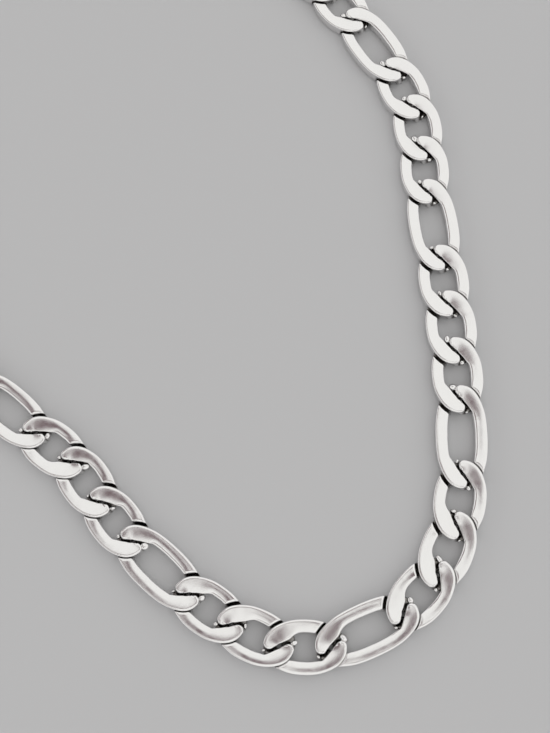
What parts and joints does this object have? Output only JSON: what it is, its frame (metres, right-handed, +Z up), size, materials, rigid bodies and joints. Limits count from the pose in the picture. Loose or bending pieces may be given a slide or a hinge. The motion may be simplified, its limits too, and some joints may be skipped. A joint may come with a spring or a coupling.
{
  "type": "figaro chain necklace",
  "caption": "Closed figaro neck chain of flat-ground twisted oval links, short ones between longer ones, lying in an open oval loop.",
  "frame": {"origin": "middle of the loop's bounding box, on the surface that the chain lies on", "axes": "+Z up out of the surface, +Y along the loop towards the clasp, +X across the loop"},
  "size_m": [0.1009, 0.2255, 0.0021],
  "materials": {
    "steel": "polished, ground flat on both faces"
  },
  "bodies": {
    "root": {"clasp": "steel", "short_link_11": "steel", "long_link_12": "steel", "short_link_13": "steel", "short_link_14": "steel", "short_link_15": "steel", "long_link_16": "steel", "short_link_17": "steel", "short_link_18": "steel", "short_link_19": "steel", "long_link_20": "steel", "short_link_21": "steel", "short_link_22": "steel", "short_link_23": "steel", "long_link_24": "steel", "short_link_25": "steel", "short_link_26": "steel", "short_link_27": "steel", "long_link_28": "steel", "short_link_29": "steel", "short_link_30": "steel", "short_link_31": "steel", "long_link_32": "steel", "short_link_33": "steel", "short_link_34": "steel", "short_link_35": "steel", "long_link_36": "steel", "short_link_37": "steel", "short_link_38": "steel", "short_link_39": "steel", "long_link_40": "steel", "short_link_41": "steel", "short_link_42": "steel", "short_link_43": "steel", "long_link_44": "steel", "short_link_45": "steel", "short_link_46": "steel", "short_link_47": "steel", "long_link_48": "steel", "short_link_49": "steel", "short_link_50": "steel", "joined_links_1_to_5": "steel", "joined_links_6_to_10": "steel", "joined_links_51_to_55": "steel", "joined_links_56_to_60": "steel"}
  },
  "joints": []
}
